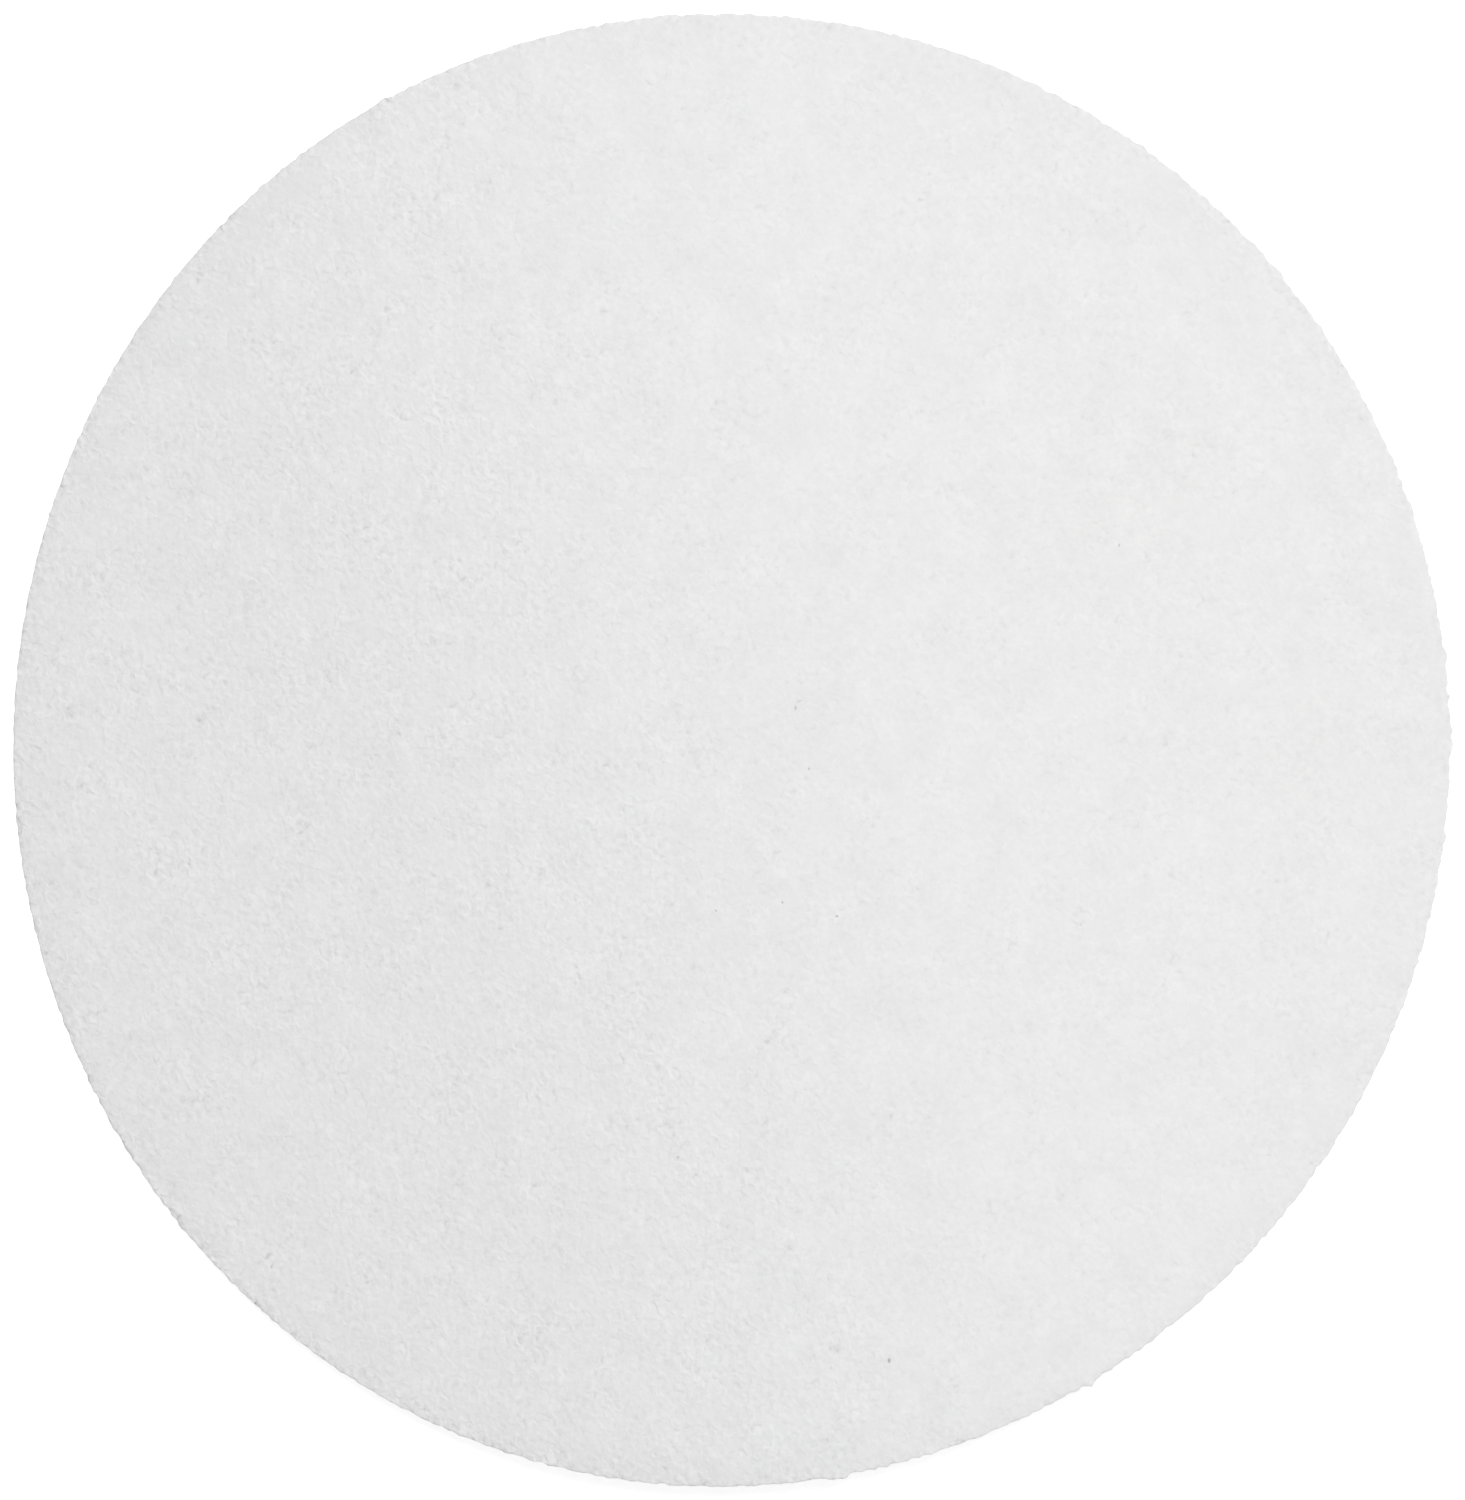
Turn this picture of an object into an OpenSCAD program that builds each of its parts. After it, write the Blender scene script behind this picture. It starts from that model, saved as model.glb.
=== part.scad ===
// Filter paper disc: one sheet of thick, soft filter paper, punched out flat as a round and
// since bent a little. It lies with the bend upwards, like a low arch, and touches the table
// at the two ends of the bend's direction.
//
// Frame: +Z up, the table at Z = 0, the bend's axis along Y, the origin on the table under the
// middle of the disc. The left flat runs towards -X, the longer right flat towards +X.

/* [Sheet] */
// Diameter of the disc as it was punched, flat
disc_d = 110; // [90:1:125]
// Thickness of the paper
sheet_t = 0.3; // [0.15:0.05:0.5]

/* [Bend] */
// Angle that the sheet turns through at its bend
bend_angle = 11; // [4:0.5:16]
// Radius of the bend, measured on the underside
bend_r = 220; // [100:5:240]
// How far the middle of the bend lies from the disc's centre, towards -X
bend_off = 4.8; // [0:0.2:10]

/* [Hidden] */
$fn = 180;

// The bend is drawn as a run of narrow facets, each turned this much from the last
facet_turn = 0.5;
facets = ceil(bend_angle / facet_turn);
half_angle = bend_angle / 2;

// Lengths along the underside: half of the bend, and the flats on either side of it
half_bend = bend_r * half_angle * PI / 180;
left_flat = disc_d / 2 - bend_off - half_bend;
right_flat = disc_d / 2 + bend_off - half_bend;

// The strip and the die are drawn longer than the disc needs
strip_l = disc_d * 1.2;
die_h = disc_d;

// Where the underside ends, seen along the bend's axis with the bend's centre at [0, 0]
left_end = flat_end(bend_r, -1, left_flat);
right_end = flat_end(bend_r, 1, right_flat);

// The turn that brings both ends down onto the table together
level = atan2(right_end.y - left_end.y, right_end.x - left_end.x);
left_rest = turned(left_end, level);
right_rest = turned(right_end, level);

// A point of the bend at radius r, at an angle from its middle
function on_bend(r, angle) = r * [sin(angle), cos(angle)];

// A point of the flat on one side (-1 left, 1 right), at a distance from the bend
function flat_end(r, side, distance) =
    on_bend(r, side * half_angle) + distance * [side * cos(half_angle), -sin(half_angle)];

// A point turned clockwise about the bend's centre
function turned(p, angle) =
    [p.x * cos(angle) + p.y * sin(angle), p.y * cos(angle) - p.x * sin(angle)];

// One face of the sheet from left to right: a flat, the bend, a flat
function face_line(r) = [
    flat_end(r, -1, disc_d),
    for (i = [0:facets]) on_bend(r, bend_angle * (i / facets - 0.5)),
    flat_end(r, 1, disc_d)
];

function reversed(points) = [for (i = [len(points) - 1:-1:0]) points[i]];

// The bent sheet before its round outline, with the bend's centre at the origin
module bent_strip() {
    rotate([90, 0, 0])
        linear_extrude(strip_l, center = true)
            polygon(concat(face_line(bend_r), reversed(face_line(bend_r + sheet_t))));
}

// The round die as it stood on one flat, square to it; the other flat has since bent away
module die(side, bend_to_centre) {
    rotate([0, side * half_angle, 0])
        translate([bend_to_centre, 0, bend_r])
            cylinder(d = disc_d, h = die_h, center = true);
}

module filter_disc() {
    color([0.91, 0.91, 0.9])
    translate([-(left_rest.x + right_rest.x) / 2, 0, -left_rest.y])
        rotate([0, level, 0])
            intersection() {
                bent_strip();
                die(-1, bend_off + half_bend);
                die(1, bend_off - half_bend);
            }
}

filter_disc();
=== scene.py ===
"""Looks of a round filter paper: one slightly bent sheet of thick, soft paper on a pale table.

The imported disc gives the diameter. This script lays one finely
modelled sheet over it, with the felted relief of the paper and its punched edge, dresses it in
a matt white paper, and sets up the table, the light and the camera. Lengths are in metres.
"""

import logging
import math
from dataclasses import dataclass, fields
from enum import Enum
from typing import Any, Optional, Union

import bpy
import numpy as np
from mathutils import Matrix, Vector


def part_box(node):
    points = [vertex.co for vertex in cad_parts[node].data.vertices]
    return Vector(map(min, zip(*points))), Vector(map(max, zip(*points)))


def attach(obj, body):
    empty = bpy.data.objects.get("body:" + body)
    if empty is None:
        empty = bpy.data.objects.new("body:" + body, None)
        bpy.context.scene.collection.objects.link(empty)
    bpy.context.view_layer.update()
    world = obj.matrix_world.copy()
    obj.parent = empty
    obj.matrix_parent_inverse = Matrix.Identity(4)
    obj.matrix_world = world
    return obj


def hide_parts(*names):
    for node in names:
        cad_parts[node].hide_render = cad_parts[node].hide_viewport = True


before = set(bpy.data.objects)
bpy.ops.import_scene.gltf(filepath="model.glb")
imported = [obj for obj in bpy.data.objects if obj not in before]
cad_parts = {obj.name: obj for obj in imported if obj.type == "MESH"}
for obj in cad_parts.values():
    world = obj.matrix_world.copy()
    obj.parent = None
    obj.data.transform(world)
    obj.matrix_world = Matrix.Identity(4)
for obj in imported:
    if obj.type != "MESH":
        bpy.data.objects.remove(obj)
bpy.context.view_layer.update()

MM = 0.001
MICRON = 1e-6
NODE = "filter_disc"
BODY = "root"
BAKE_MAP = "OFBake"
EDGE_DISTANCE = "edge_distance"

log = logging.getLogger("filter_paper")


# ---------------------------------------------------------------- the form of the sheet


@dataclass(frozen=True)
class Bend:
    """How the flat sheet is bent: a flat, a round bend and a longer flat, like a low arch.

    Attributes:
        diameter: Diameter of the sheet as it was punched, flat.
        radius: Radius of the bend, on the underside.
        angle: Angle that the sheet turns through at its bend, in radians.
        offset: How far the sheet's centre lies from the middle of the bend, towards +X.
    """

    diameter: float
    radius: float = 220 * MM
    angle: float = math.radians(11)
    offset: float = 4.8 * MM

    def _section(self, across: np.ndarray, above: np.ndarray) -> tuple[np.ndarray, np.ndarray]:
        """Bends places on the flat sheet round the arc, before the sheet is laid down.

        A place's distance from the middle of the bend is cut off at the ends of the arc. The
        part on the arc, divided by the radius, is the angle there, and the rest runs on along
        the tangent. The place then stands off the underside along its normal.

        Args:
            across: Distances from the sheet's centre, square to the bend's axis.
            above: Heights above the underside, along its normal.

        Returns:
            The x and z of each place, with the arc's top at the origin.
        """
        half_arc = self.radius * self.angle / 2
        along = across + self.offset
        on_arc = np.clip(along, -half_arc, half_arc)
        on_flat = along - on_arc
        turn = on_arc / self.radius
        x = (self.radius + above) * np.sin(turn) + on_flat * np.cos(turn)
        z = (self.radius + above) * np.cos(turn) - on_flat * np.sin(turn) - self.radius
        return x, z

    def place(self, across: np.ndarray, along: np.ndarray, above: np.ndarray) -> np.ndarray:
        """Points of the sheet as it lies, bent, with both ends of the arch on the table.

        The section is turned by the slope between its two ends and moved so that the middle
        of the line that joins them is the origin.

        Args:
            across: Distances from the sheet's centre, square to the bend's axis.
            along: Distances from the sheet's centre, along the bend's axis.
            above: Heights above the underside, along its normal.

        Returns:
            One row of x, y and z for each place.
        """
        half = self.diameter / 2
        end_x, end_z = self._section(np.array([-half, half]), np.zeros(2))
        slope = math.atan2(end_z[1] - end_z[0], end_x[1] - end_x[0])
        x, z = self._section(across, above)
        x, z = x - end_x.mean(), z - end_z.mean()
        cos, sin = math.cos(slope), math.sin(slope)
        return np.column_stack([x * cos + z * sin, along, z * cos - x * sin])


@dataclass(frozen=True)
class Waves:
    """An uneven surface: a sum of flat waves that run in all directions.

    Attributes:
        seed: Seed of the waves' directions, lengths and phases.
        longest: Longest wavelength.
        shortest: Shortest wavelength.
        height: Root mean square height of the sum.
        count: Number of waves.
    """

    seed: int
    longest: float
    shortest: float
    height: float
    count: int = 160

    def heights(self, x: np.ndarray, y: np.ndarray) -> np.ndarray:
        """Heights of the surface: the sum of cos(kx x + ky y + phase), scaled to its height.

        The waves' lengths are spread evenly on a logarithmic scale. A wave's pace, with the parts
        kx and ky, is 2 pi divided by its length.

        Args:
            x: Places along X.
            y: Places along Y.

        Returns:
            The height at each place.
        """
        rng = np.random.default_rng(self.seed)
        lengths = self.longest * (self.shortest / self.longest) ** rng.random(self.count)
        turn = rng.random(self.count) * 2 * np.pi
        phase = rng.random(self.count) * 2 * np.pi
        pace = 2 * np.pi / lengths
        total = np.cos(
            np.outer(x, pace * np.cos(turn)) + np.outer(y, pace * np.sin(turn)) + phase
        ).sum(axis=1)
        return total * self.height * math.sqrt(2 / self.count)


@dataclass(frozen=True)
class Tuft:
    """A few fibres that stand out of the cut edge, or a nick where they were torn away.

    Attributes:
        bearing: Direction of its tip from the sheet's centre, in degrees from +X.
        reach: How far its tip stands out, or in where it is negative.
        before: Length of its flank on the side of smaller bearings.
        after: Length of its flank on the side of larger bearings.
    """

    bearing: float
    reach: float
    before: float
    after: float

    def push(self, angle: np.ndarray, radius: float) -> np.ndarray:
        """How far the tuft moves the edge: two straight flanks that fall from its tip.

        Args:
            angle: Directions of places on the edge, in radians.
            radius: Radius of the sheet.

        Returns:
            The outward move at each place.
        """
        turned = np.angle(np.exp(1j * (angle - math.radians(self.bearing)))) * radius
        flank = np.where(turned < 0, self.before, self.after)
        return self.reach * np.clip(1 - np.abs(turned) / flank, 0, 1)


@dataclass(frozen=True)
class CutEdge:
    """The punched edge: a circle, a little uneven, smoother where the die was sharp.

    Attributes:
        radius: Radius of the sheet.
        seed: Seed of the unevenness.
        longest: Longest wave along the edge.
        shortest: Shortest wave along the edge.
        smooth: Root mean square unevenness where the cut is cleanest.
        rough: Root mean square unevenness where it is roughest.
        rough_bearing: Direction of the roughest stretch, in degrees from +X.
        tufts: The places where fibres stand out or are missing.
    """

    radius: float
    seed: int = 7
    longest: float = 5 * MM
    shortest: float = 0.8 * MM
    smooth: float = 0.028 * MM
    rough: float = 0.05 * MM
    rough_bearing: float = 340.0
    tufts: tuple[Tuft, ...] = (
        Tuft(bearing=2.3, reach=0.16 * MM, before=1.2 * MM, after=0.3 * MM),
        Tuft(bearing=6.0, reach=0.14 * MM, before=1.1 * MM, after=0.4 * MM),
        Tuft(bearing=18.0, reach=0.16 * MM, before=0.4 * MM, after=1.3 * MM),
        Tuft(bearing=22.6, reach=0.13 * MM, before=0.5 * MM, after=2.0 * MM),
        Tuft(bearing=26.0, reach=0.13 * MM, before=2.0 * MM, after=0.6 * MM),
        Tuft(bearing=37.7, reach=0.14 * MM, before=1.3 * MM, after=0.5 * MM),
        Tuft(bearing=50.8, reach=0.12 * MM, before=0.7 * MM, after=0.7 * MM),
        Tuft(bearing=77.5, reach=0.12 * MM, before=1.4 * MM, after=0.9 * MM),
        Tuft(bearing=100.7, reach=0.26 * MM, before=0.5 * MM, after=0.5 * MM),
        Tuft(bearing=134.0, reach=0.12 * MM, before=0.4 * MM, after=0.4 * MM),
        Tuft(bearing=193.8, reach=0.12 * MM, before=0.8 * MM, after=0.3 * MM),
        Tuft(bearing=203.3, reach=0.13 * MM, before=0.5 * MM, after=0.8 * MM),
        Tuft(bearing=263.3, reach=0.25 * MM, before=2.0 * MM, after=0.3 * MM),
        Tuft(bearing=283.9, reach=0.24 * MM, before=0.9 * MM, after=1.4 * MM),
        Tuft(bearing=291.2, reach=-0.14 * MM, before=0.5 * MM, after=0.6 * MM),
        Tuft(bearing=308.4, reach=-0.15 * MM, before=0.6 * MM, after=0.3 * MM),
        Tuft(bearing=343.1, reach=0.25 * MM, before=0.4 * MM, after=2.6 * MM),
        Tuft(bearing=350.6, reach=0.14 * MM, before=2.0 * MM, after=0.4 * MM),
    )

    def outline(self, angle: np.ndarray) -> np.ndarray:
        """Distance of the edge from the centre, in each direction.

        The circle's radius, plus a sum of whole waves round the circle, scaled from the smooth
        to the rough value by the cosine of the direction, plus the tufts.

        Args:
            angle: Directions from the sheet's centre, in radians.

        Returns:
            The distance in each direction.
        """
        rng = np.random.default_rng(self.seed)
        round_edge = 2 * math.pi * self.radius
        orders = np.arange(int(round_edge / self.longest), int(round_edge / self.shortest))
        phase = rng.random(orders.size) * 2 * np.pi
        waves = np.cos(np.outer(angle, orders) + phase).sum(axis=1) * math.sqrt(2 / orders.size)
        share = (1 + np.cos(angle - math.radians(self.rough_bearing))) / 2
        uneven = waves * (self.smooth + (self.rough - self.smooth) * share)
        return self.radius + uneven + sum(tuft.push(angle, self.radius) for tuft in self.tufts)


class Face(Enum):
    """The two faces of the sheet. The value is the order in which a cell's corners are taken."""

    TOP = (0, 1, 2, 3)
    UNDERSIDE = (0, 3, 2, 1)


@dataclass(frozen=True)
class RoundGrid:
    """A square grid of places drawn out to fill a disc.

    Attributes:
        cells: Cells along each side of the square.
    """

    cells: int

    def places(self) -> tuple[np.ndarray, np.ndarray]:
        """Distance from the centre, from 0 to 1, and direction of each grid point.

        Squares round the centre become circles: the larger of the two coordinates is the
        distance, and their quotient gives the direction within each quarter.

        Returns:
            The distances and the directions in radians, row by row.
        """
        side = np.linspace(-1, 1, self.cells + 1)
        a, b = (part.ravel() for part in np.meshgrid(side, side))
        wide = np.abs(a) > np.abs(b)
        reach = np.where(wide, a, b)
        safe = np.where(reach == 0, 1, reach)
        angle = np.where(wide, b / safe, 2 - a / safe) * np.pi / 4
        return np.abs(reach), angle + np.where(reach < 0, np.pi, 0)

    def quads(self, face: Face) -> np.ndarray:
        """Corners of each cell. A cell is split from its first corner to its third.

        Cells on the square's diagonals start at their outermost or innermost corner. On the
        disc their other split would give a triangle with no height.

        Args:
            face: Which way the cells look.

        Returns:
            One row of four point numbers for each cell.
        """
        row = self.cells + 1
        i, j = (part.ravel() for part in np.meshgrid(np.arange(self.cells), np.arange(self.cells)))
        first = j * row + i
        quads = np.column_stack([first, first + 1, first + row + 1, first + row])
        middle = (self.cells - 1) / 2
        crossed = (i - middle) * (j - middle) < 0
        quads[crossed] = np.roll(quads[crossed], 1, axis=1)
        return quads[:, face.value]

    def rim(self) -> np.ndarray:
        """The outer points, anticlockwise seen from above, starting at the lower left corner.

        Returns:
            The point numbers, 4 for each cell along a side.
        """
        n, row = self.cells, self.cells + 1
        step = np.arange(n)
        return np.concatenate([step, n + step * row, row * row - 1 - step, (n - step) * row])


@dataclass(frozen=True)
class FlatPoints:
    """Points of the sheet before it is bent.

    Attributes:
        radius: Distances from the sheet's centre.
        angle: Directions from it, in radians.
        above: Heights above the underside.
        inward: Distances in from the cut edge.
        unrolled: Distances from the centre along the surface, over the edge and down the cut.
    """

    radius: np.ndarray
    angle: np.ndarray
    above: np.ndarray
    inward: np.ndarray
    unrolled: np.ndarray

    def across(self) -> np.ndarray:
        """Distances from the centre, square to the bend's axis: radius times cosine."""
        return self.radius * np.cos(self.angle)

    def along(self) -> np.ndarray:
        """Distances from the centre, along the bend's axis: radius times sine."""
        return self.radius * np.sin(self.angle)

    @classmethod
    def joined(cls, parts: list["FlatPoints"]) -> "FlatPoints":
        """The points of several parts, one part after another."""
        names = [field.name for field in fields(cls)]
        return cls(*(np.concatenate([getattr(part, name) for part in parts]) for name in names))


@dataclass(frozen=True)
class MapDisc:
    """A round field of a flat map.

    Attributes:
        centre: Both coordinates of its centre.
        radius: Its radius.
    """

    centre: float
    radius: float

    def places(self, reach: np.ndarray, angle: np.ndarray) -> np.ndarray:
        """Places on the map: the centre plus reach times the field's radius, by direction.

        Args:
            reach: Distances from the centre, where 1 is the field's edge.
            angle: Directions, in radians.

        Returns:
            One row of two coordinates for each place.
        """
        way = np.column_stack([np.cos(angle), np.sin(angle)])
        return self.centre + self.radius * reach[:, None] * way


@dataclass
class FilterPaper:
    """The sheet of filter paper, as one closed surface.

    Attributes:
        bend: The sheet's bent form.
        edge: Its cut edge.
        thickness: Thickness of the paper.
        press_depth: How much thinner the die pressed the sheet at its edge.
        press_width: Distance from the edge over which that fades.
        shoulder: Width over which the top edge is rounded.
        cells: Grid cells across the top. The underside has half as many.
        felt: The relief of the top, down to the finest clumps that the grid can hold.
        under_felt: The relief of the underside.
    """

    bend: Bend
    edge: CutEdge
    thickness: float = 0.3 * MM
    press_depth: float = 0.05 * MM
    press_width: float = 0.9 * MM
    shoulder: float = 0.2 * MM
    cells: int = 272
    felt: tuple[Waves, ...] = (
        Waves(seed=21, longest=9 * MM, shortest=3 * MM, height=7 * MICRON),
        Waves(seed=22, longest=3 * MM, shortest=1.5 * MM, height=4 * MICRON),
        Waves(seed=23, longest=1.5 * MM, shortest=0.9 * MM, height=3.5 * MICRON, count=320),
    )
    under_felt: tuple[Waves, ...] = (
        Waves(seed=31, longest=9 * MM, shortest=3 * MM, height=6 * MICRON),
        Waves(seed=32, longest=3 * MM, shortest=1.7 * MM, height=4 * MICRON),
    )

    # The rounded cut, from the top face down: how far each ring lies inside the edge, in shoulder
    # widths, and how high above the underside, in thicknesses. Below its outermost ring the cut
    # slopes back in, as the die leaves it.
    ROUNDING = ((1.0, 1.0), (0.5, 0.975), (0.16, 0.92), (0.02, 0.84), (0.0, 0.74), (0.3, 0.12))
    UNDER_INSET = 0.8

    # Two fields of one map: the top with the cut unrolled round it, and the underside as it is
    # seen from below. The cut is drawn wider than it is, because it is narrower than the map's
    # points.
    TOP_FIELD = MapDisc(centre=0.385, radius=0.365)
    UNDER_FIELD = MapDisc(centre=0.8, radius=0.19)
    CUT_STRETCH = 3.0

    def _grids(self) -> tuple[RoundGrid, RoundGrid]:
        """The grids of the top and the underside."""
        return RoundGrid(self.cells), RoundGrid(self.cells // 2)

    def _relief(self, waves: tuple[Waves, ...], radius: np.ndarray, angle: np.ndarray) -> np.ndarray:
        """The sum of several wave fields at places given by distance and direction."""
        x, y = radius * np.cos(angle), radius * np.sin(angle)
        return sum(wave.heights(x, y) for wave in waves)

    def _pressed(self, inward: np.ndarray) -> np.ndarray:
        """Thickness of the sheet: it loses the press's depth times exp(-inward / width)."""
        return self.thickness - self.press_depth * np.exp(-inward / self.press_width)

    def _top(self, grid: RoundGrid) -> FlatPoints:
        """Points of the top face: the pressed thickness plus the felt relief.

        Args:
            grid: The face's grid.

        Returns:
            The points, row by row.
        """
        reach, angle = grid.places()
        outline = self.edge.outline(angle)
        radius = reach * (outline - self.shoulder)
        inward = outline - radius
        above = self._pressed(inward) + self._relief(self.felt, radius, angle)
        return FlatPoints(radius, angle, above, inward, radius)

    def _cut(self, angle: np.ndarray) -> FlatPoints:
        """Points of the cut edge, ring by ring below the top face.

        Each ring is the edge's outline, set in and lowered by the rounded profile. The relief
        of the top dies out down the shoulder.

        Args:
            angle: Directions of the rings' points, in radians.

        Returns:
            The points, ring after ring.
        """
        outline = self.edge.outline(angle)
        insets, heights = np.array(self.ROUNDING[1:]).T[:, :, None]
        inward = np.broadcast_to(insets * self.shoulder, (len(insets), angle.size))
        radius = outline - inward
        turns = np.tile(angle, len(insets))
        fading = np.repeat(insets.ravel(), angle.size)
        relief = self._relief(self.felt, radius.ravel(), turns) * fading
        above = (self._pressed(inward) * heights).ravel() + relief
        unrolled = outline - self.shoulder + self._down_the_cut()[1:-1, None]
        return FlatPoints(radius.ravel(), turns, above, inward.ravel(), unrolled.ravel())

    def _down_the_cut(self) -> np.ndarray:
        """Distances along the rounded cut, from the top face to the underside, stretched.

        They are the running sum of the lengths of the profile's segments.

        Returns:
            The distance to each ring, and last to the underside's rim.
        """
        profile = np.array(self.ROUNDING + ((self.UNDER_INSET, 0.0),))
        steps = np.diff(profile * (self.shoulder, self.thickness), axis=0)
        lengths = np.hypot(steps[:, 0], steps[:, 1])
        return self.CUT_STRETCH * np.concatenate([[0.0], np.cumsum(lengths)])

    def _underside(self, grid: RoundGrid) -> FlatPoints:
        """Points of the underside: its relief only hollows it, so that the sheet rests as packed.

        Args:
            grid: The face's grid.

        Returns:
            The points, row by row.
        """
        reach, angle = grid.places()
        outline = self.edge.outline(angle)
        radius = reach * (outline - self.UNDER_INSET * self.shoulder)
        above = np.abs(self._relief(self.under_felt, radius, angle))
        unrolled = outline - self.shoulder + self._down_the_cut()[-1]
        return FlatPoints(radius, angle, above, outline - radius, unrolled)

    def _faces(self) -> tuple[np.ndarray, np.ndarray, np.ndarray]:
        """Faces of the whole sheet, by the numbers of their points.

        The top and the underside are round grids. Bands of quads run down the cut between
        rings of equal counts, and a last band of triangles joins the lowest ring to the
        underside, which has one rim point for every two of the ring.

        Returns:
            The quads of the top and the cut, the quads of the underside, and the triangles.
        """
        top, under = self._grids()
        rim, steps = top.rim(), len(self.ROUNDING) - 1
        first_cut = (self.cells + 1) ** 2
        rings = first_cut + np.arange(steps * rim.size).reshape(steps, rim.size)
        upper, lower = np.vstack([rim, rings])[:-1], rings
        corners = [upper, lower, np.roll(lower, -1, axis=1), np.roll(upper, -1, axis=1)]
        bands = np.stack(corners, axis=-1).reshape(-1, 4)
        first_under = first_cut + rings.size
        coarse = first_under + under.rim()
        coarse_next = np.roll(coarse, -1)
        even, odd = rings[-1][0::2], rings[-1][1::2]
        joins = [
            np.column_stack([even, coarse, odd]),
            np.column_stack([odd, coarse, coarse_next]),
            np.column_stack([odd, coarse_next, np.roll(even, -1)]),
        ]
        upper_quads = np.concatenate([top.quads(Face.TOP), bands])
        return upper_quads, first_under + under.quads(Face.UNDERSIDE), np.concatenate(joins)

    def _points(self) -> FlatPoints:
        """All points of the flat sheet: the top, the cut's rings and the underside.

        Returns:
            The points, in the order that the faces number them.
        """
        top, under = self._grids()
        rim_angle = top.places()[1][top.rim()]
        return FlatPoints.joined([self._top(top), self._cut(rim_angle), self._underside(under)])

    def build(self) -> bpy.types.Object:
        """Makes the sheet's object, with its flat map and its distances from the edge.

        Returns:
            The object, at the origin, with its place in its mesh.
        """
        points = self._points()
        upper, under, joins = self._faces()
        placed = self.bend.place(points.across(), points.along(), points.above)
        piece = make_object("filter_paper_sheet", placed, [upper, under, joins])
        outer = self.TOP_FIELD.places(points.unrolled / self.edge.radius, points.angle)
        lower = self.UNDER_FIELD.places(points.radius / self.edge.radius, -points.angle)
        corners = np.concatenate([outer[upper.ravel()], lower[under.ravel()], outer[joins.ravel()]])
        layer = piece.data.uv_layers.new(name=BAKE_MAP)
        layer.uv.foreach_set("vector", corners.astype(np.float32).ravel())
        distance = piece.data.attributes.new(EDGE_DISTANCE, "FLOAT", "POINT")
        distance.data.foreach_set("value", points.inward.astype(np.float32))
        return piece

    def on_top(self, across: float, along: float) -> Vector:
        """The place of a point of the top face as the sheet lies.

        Args:
            across: Its distance from the flat sheet's centre, square to the bend's axis.
            along: Its distance from that centre, along the axis.

        Returns:
            Its x, y and z.
        """
        return Vector(self.bend.place(*np.array([[across], [along], [self.thickness]]))[0])

    def dress(self, piece: bpy.types.Object, finish: "PaperFinish") -> None:
        """Gives the sheet its paper and its place in the frame.

        Args:
            piece: The sheet's object.
            finish: The paper that it is made of.
        """
        piece.data.materials.append(finish.material(self))
        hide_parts(NODE)
        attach(piece, BODY)


def make_object(name: str, points: np.ndarray, faces: list[np.ndarray]) -> bpy.types.Object:
    """Makes a smooth-shaded mesh object from whole arrays.

    Args:
        name: Name of the object and its mesh.
        points: One row of x, y and z for each point.
        faces: Arrays of faces, each with the same number of corners in all its rows.

    Returns:
        The new object, linked into the scene.
    """
    mesh = bpy.data.meshes.new(name)
    corners = np.concatenate([part.ravel() for part in faces])
    sizes = np.concatenate([np.full(len(part), part.shape[1]) for part in faces])
    mesh.vertices.add(len(points))
    mesh.vertices.foreach_set("co", points.astype(np.float32).ravel())
    mesh.loops.add(len(corners))
    mesh.loops.foreach_set("vertex_index", corners.astype(np.int32))
    mesh.polygons.add(len(sizes))
    mesh.polygons.foreach_set("loop_start", (np.cumsum(sizes) - sizes).astype(np.int32))
    mesh.polygons.foreach_set("use_smooth", np.ones(len(sizes), dtype=bool))
    mesh.update(calc_edges=True)
    mesh.validate()
    piece = bpy.data.objects.new(name, mesh)
    bpy.context.scene.collection.objects.link(piece)
    return piece


# ---------------------------------------------------------------- shader nodes


Number = Union["Value", float]
Inputs = dict[Union[str, int], Any]


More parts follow.
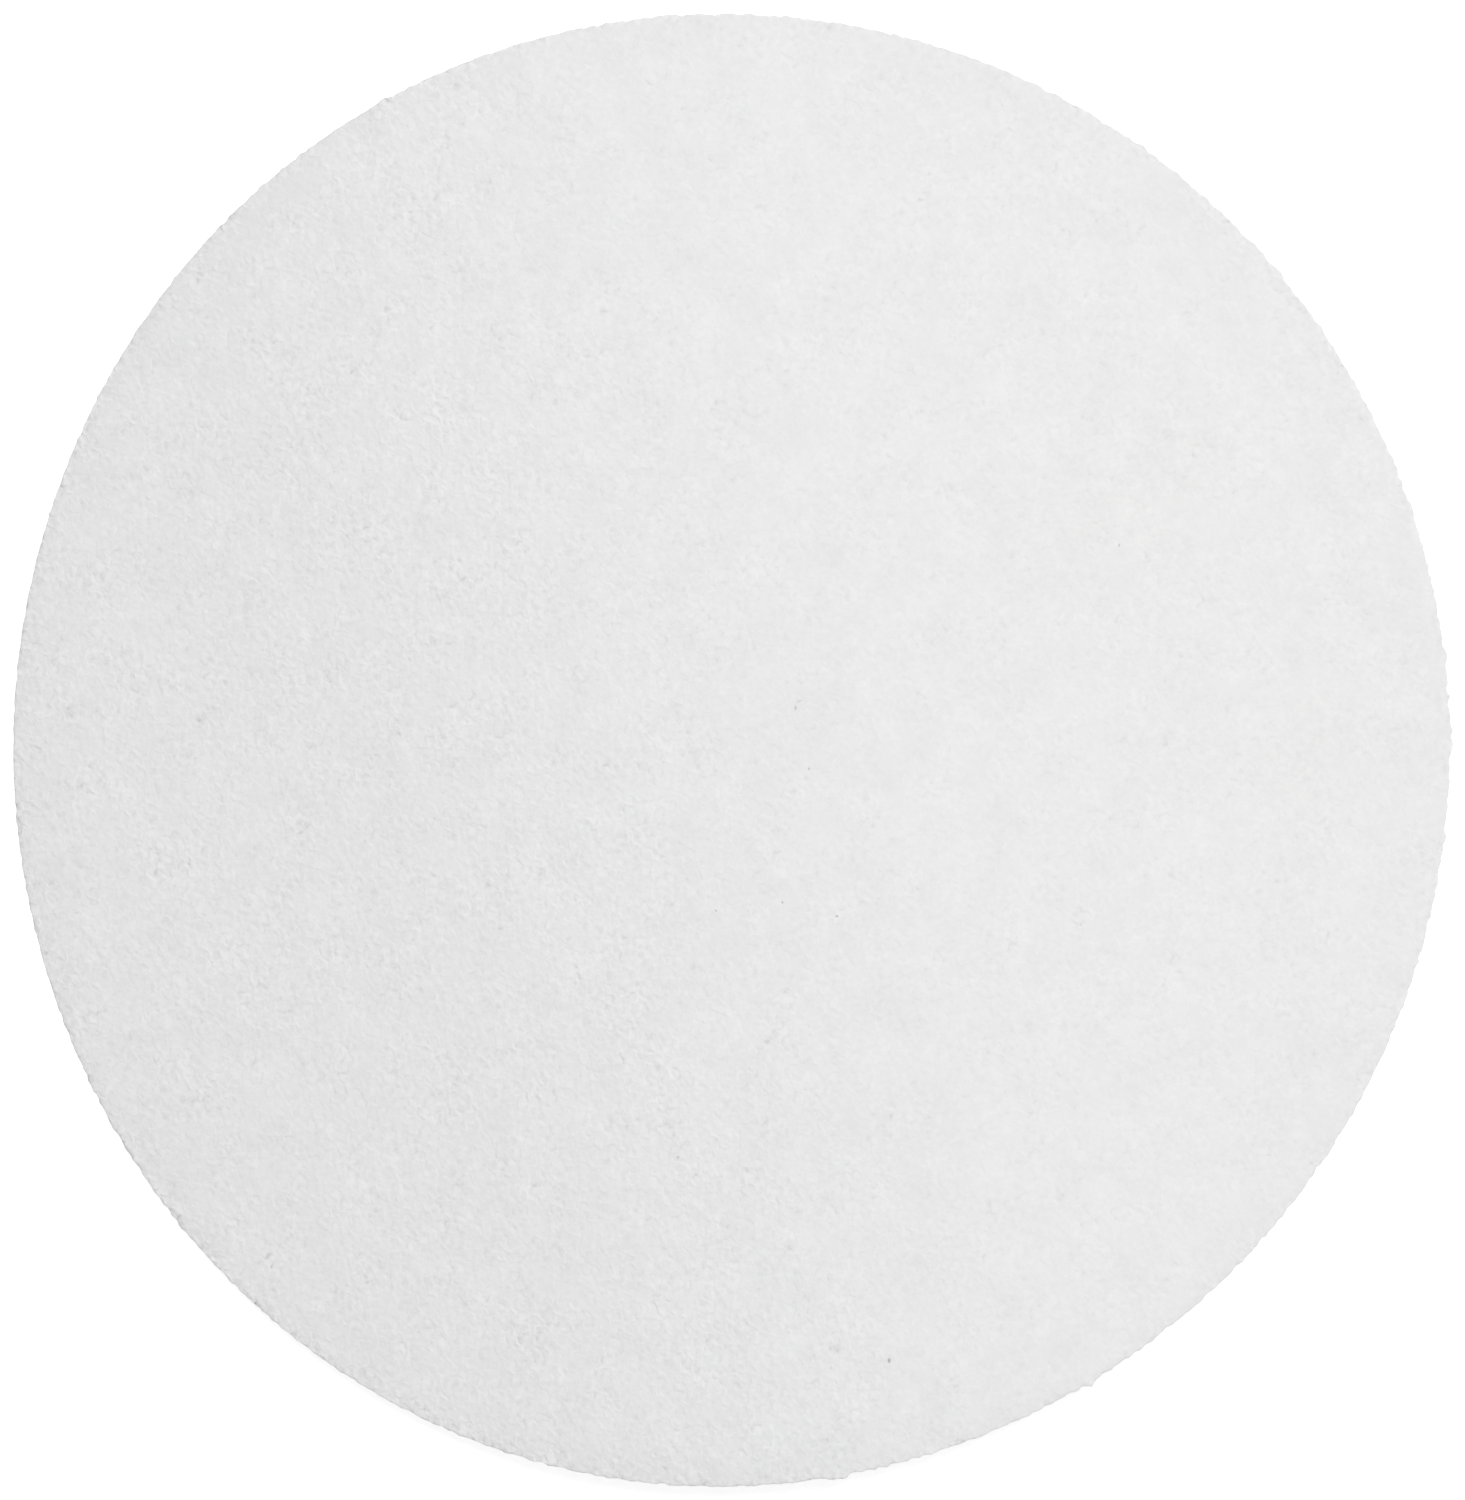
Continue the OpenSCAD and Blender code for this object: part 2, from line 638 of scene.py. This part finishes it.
class Value:
    """A node's output, with operators that add Math nodes."""

    def __init__(self, nodes: "Nodes", node: bpy.types.Node, name: str = "") -> None:
        """Keeps what the output is found by.

        Args:
            nodes: Maker of the nodes.
            node: The node.
            name: The output's name, or none for the first that is in use.
        """
        self.nodes = nodes
        self.node = node
        self.name = name

    @property
    def socket(self) -> bpy.types.NodeSocket:
        """The output's socket.

        Returns:
            The socket of its name or, without a name, the node's first that is in use.
        """
        if self.name:
            return self.node.outputs[self.name]
        return next(socket for socket in self.node.outputs if socket.enabled)

    def output(self, name: str) -> "Value":
        """Another output of the same node."""
        return Value(self.nodes, self.node, name)

    def _math(self, operation: str, *numbers: Number) -> "Value":
        """Adds one Math node on these numbers."""
        return self.nodes.add("ShaderNodeMath", dict(enumerate(numbers)), operation=operation)

    def __add__(self, other: Number) -> "Value":
        """This number plus another."""
        return self._math("ADD", self, other)

    __radd__ = __add__

    def __mul__(self, other: Number) -> "Value":
        """This number times another."""
        return self._math("MULTIPLY", self, other)

    __rmul__ = __mul__

    def __sub__(self, other: Number) -> "Value":
        """This number less another."""
        return self._math("SUBTRACT", self, other)

    def __rsub__(self, other: Number) -> "Value":
        """Another number less this one."""
        return self._math("SUBTRACT", other, self)

    def __truediv__(self, other: Number) -> "Value":
        """This number divided by another."""
        return self._math("DIVIDE", self, other)

    def at_least(self, other: Number) -> "Value":
        """The larger of this number and another."""
        return self._math("MAXIMUM", self, other)

    def at_most(self, other: Number) -> "Value":
        """The smaller of this number and another."""
        return self._math("MINIMUM", self, other)

    def share(self) -> "Value":
        """This number, kept between 0 and 1."""
        return self.at_least(0.0).at_most(1.0)

    def exponential(self) -> "Value":
        """Euler's number to the power of this one."""
        return self._math("EXPONENT", self)


class Nodes:
    """Makes the nodes of one material or world."""

    def __init__(self, owner: Union[bpy.types.Material, bpy.types.World]) -> None:
        """Clears the owner's node tree, to start a new one.

        Args:
            owner: The material or world.
        """
        owner.use_nodes = True
        self.tree = owner.node_tree
        self.tree.nodes.clear()

    def add(self, kind: str, inputs: Optional[Inputs] = None, **settings: Any) -> Value:
        """Adds a node.

        Args:
            kind: The node's type.
            inputs: For each input socket's name or number, a Value to link or a constant.
            settings: Its own settings, which are set first.

        Returns:
            Its first output that is in use.
        """
        node = self.tree.nodes.new(kind)
        for name, setting in settings.items():
            setattr(node, name, setting)
        for key, value in (inputs or {}).items():
            if isinstance(value, Value):
                self.tree.links.new(value.socket, node.inputs[key])
            else:
                node.inputs[key].default_value = value
        return Value(self, node)

    def place(self) -> Value:
        """Each point's place in the object's own frame."""
        return self.add("ShaderNodeTexCoord").output("Object")

    def seen(self) -> Value:
        """Tells the rays that show a surface from those that only carry light.

        Returns:
            1 for rays from the camera, off gloss or through glass, and 0 for all others.
        """
        path = self.add("ShaderNodeLightPath")
        glossy = path.output("Is Glossy Ray")
        through = path.output("Is Transmission Ray")
        return (path.output("Is Camera Ray") + glossy + through).at_most(1.0)

    def mix(self, share: Number, first: Any, second: Any) -> Value:
        """A colour between two others, which are the node's seventh and eighth inputs."""
        return self.add("ShaderNodeMix", {0: share, 6: first, 7: second}, data_type="RGBA")


@dataclass(frozen=True)
class Noise:
    """A soft noise around 0, mostly between -0.5 and 0.5.

    Attributes:
        size: Rough size of its largest lumps.
        seed: Picks one noise among others.
        detail: Number of finer octaves that are added.
        twist: How far the lumps are drawn out into curls.
    """

    size: float
    seed: float
    detail: float = 1.0
    twist: float = 0.0

    def value(self, nodes: Nodes, place: Value) -> Value:
        """Adds the noise, read at these places, with its middle moved to 0.

        Args:
            nodes: Maker of the nodes.
            place: Places on the object.

        Returns:
            The noise's value.
        """
        inputs = {
            "Vector": place,
            "W": self.seed,
            "Scale": 1 / self.size,
            "Detail": self.detail,
            "Distortion": self.twist,
        }
        return nodes.add("ShaderNodeTexNoise", inputs, noise_dimensions="4D") - 0.5


# ---------------------------------------------------------------- finishes


Colour = tuple[float, float, float, float]


@dataclass(frozen=True)
class Speck:
    """A small grey speck in the paper's top face.

    Attributes:
        across: Its distance from the flat sheet's centre, square to the bend's axis.
        along: Its distance from that centre, along the axis.
        length: Its longer half-axis.
        width: Its shorter half-axis.
        turn: Direction of its length, in degrees from +X.
        depth: How much of the paper's light it takes at its middle.
    """

    across: float
    along: float
    length: float
    width: float
    turn: float
    depth: float

    def shade(self, nodes: Nodes, place: Value, sheet: FilterPaper) -> Value:
        """How much light the speck takes: its depth times 1 - r squared, inside its ellipse.

        The ellipse is as high as it is wide, so that it shows on the top face only.

        Args:
            nodes: Maker of the nodes.
            place: Places on the sheet.
            sheet: The sheet that it lies on.

        Returns:
            The share of the light.
        """
        inputs = {
            "Vector": place,
            "Location": sheet.on_top(self.across, self.along),
            "Rotation": (0.0, 0.0, math.radians(self.turn)),
            "Scale": (self.length, self.width, self.width),
        }
        within = nodes.add("ShaderNodeMapping", inputs, vector_type="TEXTURE")
        squared = nodes.add("ShaderNodeVectorMath", {0: within, 1: within}, operation="DOT_PRODUCT")
        return (1 - squared.output("Value")).at_least(0.0) * self.depth


@dataclass(frozen=True)
class Clouds:
    """Soft patches in which the paper is a little denser or thinner.

    Attributes:
        patches: The noise that lays them out.
        depth: How much they change the paper's brightness.
    """

    patches: Noise
    depth: float

    def shade(self, nodes: Nodes, place: Value) -> Value:
        """The change in brightness: the patches' noise, times the depth."""
        return self.patches.value(nodes, place) * self.depth


@dataclass(frozen=True)
class Clumps:
    """The felted clumps of fibres, as a relief and as a change in brightness, partly painted shade.

    Attributes:
        grain: The noise of the clumps themselves.
        patches: The noise of the patches in which they stand out.
        patch_contrast: How much stronger they are there.
        weakest: Their strength where it is least, as a share of the usual.
        peak: How much the boldest clumps stand out in brightness from the others.
        limit: Where the brightest are cut off, so that the dark ones show more.
        depth: How much the clumps change the paper's brightness.
        rise: Height of their relief, in microns.
        edge_boost: How much stronger they are at the very edge.
        calm_start: Place along X from which they grow fainter.
        calm_end: Place along X from which they stay faint.
        calm_depth: Share of the change in brightness that is left by then.
        calm_rise: Share of the relief that is left by then.
    """

    grain: Noise = Noise(size=0.48 * MM, seed=4.2, detail=0.85, twist=0.6)
    patches: Noise = Noise(size=2.6 * MM, seed=6.1)
    patch_contrast: float = 1.7
    weakest: float = 0.3
    peak: float = 19.0
    limit: float = 0.32
    depth: float = 0.134
    rise: float = 66.0
    edge_boost: float = 1.5
    calm_start: float = -11 * MM
    calm_end: float = 9 * MM
    calm_depth: float = 0.65
    calm_rise: float = 0.42

    def pattern(self, nodes: Nodes, place: Value) -> Value:
        """A soft noise around 0, stronger in some patches than in others."""
        strength = self.patches.value(nodes, place) * self.patch_contrast + 1
        return self.grain.value(nodes, place) * strength.at_least(self.weakest)

    def calm(self, nodes: Nodes, place: Value) -> Value:
        """0 where the clumps are strong, rising to 1 where they are faint, along X."""
        # The wing towards +X faces the lamp, so the clumps' painted shade is fainter there.
        x = nodes.add("ShaderNodeSeparateXYZ", {"Vector": place})
        return ((x - self.calm_start) / (self.calm_end - self.calm_start)).share()

    def _strength(self, calm: Value, edge_nearness: Value, left: float) -> Value:
        """1, falling to what is left where the clumps are faint, and raised near the cut edge."""
        return (1 - calm * (1 - left)) * (edge_nearness * self.edge_boost + 1)

    def shade(self, pattern: Value, calm: Value, edge_nearness: Value) -> Value:
        """The change in brightness, partly painted shade: pattern + peak * pattern cubed, cut at the
        limit.

        Args:
            pattern: The clumps' pattern.
            calm: How faint they are, from 0 to 1.
            edge_nearness: How near the cut edge the place is, from 0 to 1.

        Returns:
            The change in brightness.
        """
        # Partly the clumps' own tone and partly painted shade in the pits between them; the bright side is
        # cut off so the shaded pits show more.
        peaked = (pattern * (pattern * pattern * self.peak + 1)).at_most(self.limit)
        return peaked * self._strength(calm, edge_nearness, self.calm_depth) * self.depth

    def relief(self, pattern: Value, calm: Value, edge_nearness: Value) -> Value:
        """The height of the relief in microns, in proportion to the pattern.

        Args:
            pattern: The clumps' pattern.
            calm: How faint they are, from 0 to 1.
            edge_nearness: How near the cut edge the place is, from 0 to 1.

        Returns:
            The height.
        """
        return pattern * self._strength(calm, edge_nearness, self.calm_rise) * self.rise


@dataclass(frozen=True)
class PaintedEdgeShade:
    """Painted shade: a darkening of the colour that is strongest at the cut edge and fades inwards.

    Attributes:
        depth: Share of the paper's light that it takes at the edge.
        width: Distance from the edge over which it fades.
    """

    depth: float
    width: float

    def strength(self, nodes: Nodes) -> Value:
        """1 at the cut edge, falling inwards as exp(-distance / width)."""
        distance = nodes.add("ShaderNodeAttribute", attribute_name=EDGE_DISTANCE).output("Fac")
        return (distance / -self.width).exponential()


@dataclass(frozen=True)
class PaperFinish:
    """Matt white filter paper: felted clumps with painted shade, softer clouds, painted edge shade,
    specks.

    Attributes:
        white: The paper's usual colour.
        warm: The colour of its warmer patches.
        cool: The colour of its cooler patches.
        tint: The noise that lays those patches out.
        tint_contrast: How quickly one passes into the other.
        clouds: Its softer patches, large and small.
        clumps: Its clumps of fibres.
        border: Broad, faint painted shade towards the edge.
        rim_shade: Narrow painted shade at the very edge.
        roughness: The paper's usual roughness.
        roughness_swing: How much the clumps change it.
        gloss: Level of its reflections.
        specks: The specks.
    """

    white: Colour = (0.81, 0.81, 0.81, 1.0)
    warm: Colour = (0.8115, 0.8103, 0.8085, 1.0)
    cool: Colour = (0.8088, 0.8097, 0.8115, 1.0)
    tint: Noise = Noise(size=24 * MM, seed=8.9)
    tint_contrast: float = 3.0
    clouds: tuple[Clouds, ...] = (
        Clouds(Noise(size=3.4 * MM, seed=1.7, detail=2.0), depth=0.084),
        Clouds(Noise(size=1.25 * MM, seed=2.6), depth=0.046),
    )
    clumps: Clumps = Clumps()
    border: PaintedEdgeShade = PaintedEdgeShade(depth=0.018, width=3.5 * MM)
    rim_shade: PaintedEdgeShade = PaintedEdgeShade(depth=0.015, width=0.35 * MM)
    roughness: float = 0.93
    roughness_swing: float = 0.12
    gloss: float = 0.25
    specks: tuple[Speck, ...] = (
        Speck(across=-0.7 * MM, along=-47.45 * MM, length=0.24 * MM, width=0.15 * MM, turn=75, depth=0.44),
        Speck(across=6.6 * MM, along=1.2 * MM, length=0.24 * MM, width=0.12 * MM, turn=80, depth=0.27),
        Speck(across=7.0 * MM, along=1.6 * MM, length=0.3 * MM, width=0.1 * MM, turn=2, depth=0.16),
        Speck(across=6.25 * MM, along=-3.45 * MM, length=0.14 * MM, width=0.11 * MM, turn=70, depth=0.32),
        Speck(across=5.1 * MM, along=-14.6 * MM, length=0.17 * MM, width=0.11 * MM, turn=-17, depth=0.4),
        Speck(across=-3.55 * MM, along=-11.5 * MM, length=0.18 * MM, width=0.09 * MM, turn=-60, depth=0.3),
        Speck(across=1.45 * MM, along=-12.4 * MM, length=0.13 * MM, width=0.11 * MM, turn=75, depth=0.34),
        Speck(across=-11.7 * MM, along=-28.25 * MM, length=0.15 * MM, width=0.1 * MM, turn=-17, depth=0.3),
        Speck(across=33.3 * MM, along=5.7 * MM, length=0.17 * MM, width=0.09 * MM, turn=73, depth=0.29),
    )

    def _tinted(self, nodes: Nodes, place: Value) -> Value:
        """The paper's white, with its warmer and cooler patches.

        Args:
            nodes: Maker of the nodes.
            place: Places on the sheet.

        Returns:
            The colour.
        """
        tint = self.tint.value(nodes, place) * self.tint_contrast
        warmer = nodes.mix(tint.share(), self.white, self.warm)
        return nodes.mix((0 - tint).share(), warmer, self.cool)

    def material(self, sheet: FilterPaper) -> bpy.types.Material:
        """Makes the paper's material.

        Its tinted white is scaled by 1, plus the clumps and clouds, less the painted shade at the
        edge and what the specks take. The clumps' part is partly painted shade in their pits. The
        clumps also give the relief, and make the paper rougher where they rise.

        Args:
            sheet: The sheet that it is for.

        Returns:
            The material.
        """
        material = bpy.data.materials.new("filter_paper_felt")
        nodes = Nodes(material)
        place = nodes.place()
        pattern = self.clumps.pattern(nodes, place)
        calm = self.clumps.calm(nodes, place)
        edge_nearness = self.rim_shade.strength(nodes)
        light = self.clumps.shade(pattern, calm, edge_nearness) + 1
        # Painted shade near the cut edge: a narrow band and a broad, faint one darken the colour.
        light = light - edge_nearness * self.rim_shade.depth
        light = light - self.border.strength(nodes) * self.border.depth
        for clouds in self.clouds:
            light = light + clouds.shade(nodes, place)
        for speck in self.specks:
            light = light - speck.shade(nodes, place, sheet)
        lit = {0: self._tinted(nodes, place), "Scale": light}
        relief = {
            "Strength": 1.0,
            "Distance": MICRON,
            "Height": self.clumps.relief(pattern, calm, edge_nearness),
        }
        inputs = {
            "Base Color": nodes.add("ShaderNodeVectorMath", lit, operation="SCALE"),
            "Roughness": (pattern * self.roughness_swing + self.roughness).at_most(1.0),
            "Specular IOR Level": self.gloss,
            "Normal": nodes.add("ShaderNodeBump", relief),
        }
        shader = nodes.add("ShaderNodeBsdfPrincipled", inputs)
        nodes.add("ShaderNodeOutputMaterial", {"Surface": shader})
        return material


@dataclass(frozen=True)
class TableFinish:
    """A white table that keeps a faint shadow.

    Attributes:
        white: The table's colour.
        glow: Light that it adds for the camera and for reflections alone.
        grain: The noise of its faint unevenness.
        roughness: Its usual roughness.
        roughness_swing: How much the unevenness changes it.
    """

    white: Colour = (0.92, 0.92, 0.92, 1.0)
    glow: float = 0.68
    grain: Noise = Noise(size=30 * MM, seed=3.1, detail=2.0)
    roughness: float = 0.5
    roughness_swing: float = 0.2

    def material(self) -> bpy.types.Material:
        """Makes the table's material: a matt surface, plus a glow that lights nothing.

        Returns:
            The material.
        """
        material = bpy.data.materials.new("white_table")
        nodes = Nodes(material)
        grain = self.grain.value(nodes, nodes.place())
        roughness = grain * self.roughness_swing + self.roughness
        matt = nodes.add("ShaderNodeBsdfDiffuse", {"Color": self.white, "Roughness": roughness})
        glow = nodes.add("ShaderNodeEmission", {"Strength": nodes.seen() * self.glow})
        both = nodes.add("ShaderNodeAddShader", {0: matt, 1: glow})
        nodes.add("ShaderNodeOutputMaterial", {"Surface": both})
        return material


# ---------------------------------------------------------------- table, light and camera


@dataclass(frozen=True)
class Studio:
    """The table, a large soft lamp, an even fill and the camera.

    Attributes:
        table_size: Side of the square table.
        key_level: Light of the lamp on a surface that faces it, where 1 shows a colour as it is.
        key_azimuth: Direction that the lamp lies in, in degrees from +X.
        key_tilt: Angle of the lamp from straight above, in degrees.
        key_distance: Distance of the lamp.
        key_size: Side of the lamp's square face.
        fill_level: Even light from all around, on the same scale.
        fill_colour: Colour of that light.
        turn: How far the sheet is turned in the picture, anticlockwise, in degrees.
        lean: How far the camera leans to its right, in degrees.
        tip: How far the camera leans down, in degrees.
        camera_distance: Distance of the camera.
        margin: Height of the picture, in diameters of the sheet.
        aim: The point, right and up in the picture from the origin, at its centre.
    """

    table_size: float = 3.0
    key_level: float = 0.768
    key_azimuth: float = 26.0
    key_tilt: float = 30.0
    key_distance: float = 2.0
    key_size: float = 0.9
    fill_level: float = 0.365
    fill_colour: Colour = (1.0, 1.0, 1.0, 1.0)
    turn: float = 16.9
    lean: float = 11.65
    tip: float = 1.4
    camera_distance: float = 2.0
    margin: float = 1.02
    aim: tuple[float, float] = (0.26 * MM, 0.055 * MM)

    def build(self, diameter: float) -> None:
        """Makes everything around the sheet.

        Args:
            diameter: Diameter of the sheet.
        """
        self._table()
        self._key()
        self._fill()
        self._camera(diameter)

    def _table(self) -> None:
        """A square of table under the sheet."""
        half = self.table_size / 2
        points = np.array([(-half, -half, 0), (half, -half, 0), (half, half, 0), (-half, half, 0)])
        table = make_object("table", points, [np.array([(0, 1, 2, 3)])])
        table.data.materials.append(TableFinish().material())

    def _key(self) -> None:
        """The lamp. Its power is pi squared, times its level, times its distance squared."""
        lamp = bpy.data.lights.new("key_lamp", "AREA")
        lamp.shape = "SQUARE"
        lamp.size = self.key_size
        lamp.energy = math.pi**2 * self.key_level * self.key_distance**2
        azimuth, tilt = math.radians(self.key_azimuth), math.radians(self.key_tilt)
        towards = Vector(
            (math.sin(tilt) * math.cos(azimuth), math.sin(tilt) * math.sin(azimuth), math.cos(tilt))
        )
        holder = bpy.data.objects.new("key_lamp", lamp)
        holder.location = towards * self.key_distance
        holder.rotation_euler = towards.to_track_quat("Z", "Y").to_euler()
        bpy.context.scene.collection.objects.link(holder)

    def _fill(self) -> None:
        """Even light from all around, at full strength where it is seen."""
        world = bpy.data.worlds.new("studio")
        nodes = Nodes(world)
        strength = nodes.seen() * (1 - self.fill_level) + self.fill_level
        sky = nodes.add("ShaderNodeBackground", {"Color": self.fill_colour, "Strength": strength})
        nodes.add("ShaderNodeOutputWorld", {"Surface": sky})
        bpy.context.scene.world = world

    def _camera(self, diameter: float) -> None:
        """The camera, looking down on the sheet.

        Args:
            diameter: Diameter of the sheet.
        """
        data = bpy.data.cameras.new("camera")
        data.lens = data.sensor_width * self.camera_distance / (diameter * self.margin)
        turned = (
            Matrix.Rotation(math.radians(-self.turn), 4, "Z")
            @ Matrix.Rotation(math.radians(self.lean), 4, "Y")
            @ Matrix.Rotation(math.radians(self.tip), 4, "X")
        )
        holder = bpy.data.objects.new("camera", data)
        holder.matrix_world = turned @ Matrix.Translation((*self.aim, self.camera_distance))
        bpy.context.scene.collection.objects.link(holder)
        bpy.context.scene.camera = holder


def set_view() -> None:
    """Shows colours as they are."""
    bpy.context.scene.view_settings.view_transform = "Standard"


def main() -> None:
    """Builds the sheet and its surroundings, and reports each."""
    logging.basicConfig(level=logging.INFO, format="%(name)s: %(message)s")
    low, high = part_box(NODE)
    diameter = high.y - low.y
    sheet = FilterPaper(bend=Bend(diameter), edge=CutEdge(diameter / 2))
    piece = sheet.build()
    sheet.dress(piece, PaperFinish())
    triangles = sum(len(face.vertices) - 2 for face in piece.data.polygons)
    log.info("%s: %d triangles, %.1f mm across", piece.name, triangles, diameter / MM)
    Studio().build(diameter)
    log.info("table, lamp and camera are in place")
    set_view()


if __name__ == "__main__":
    main()
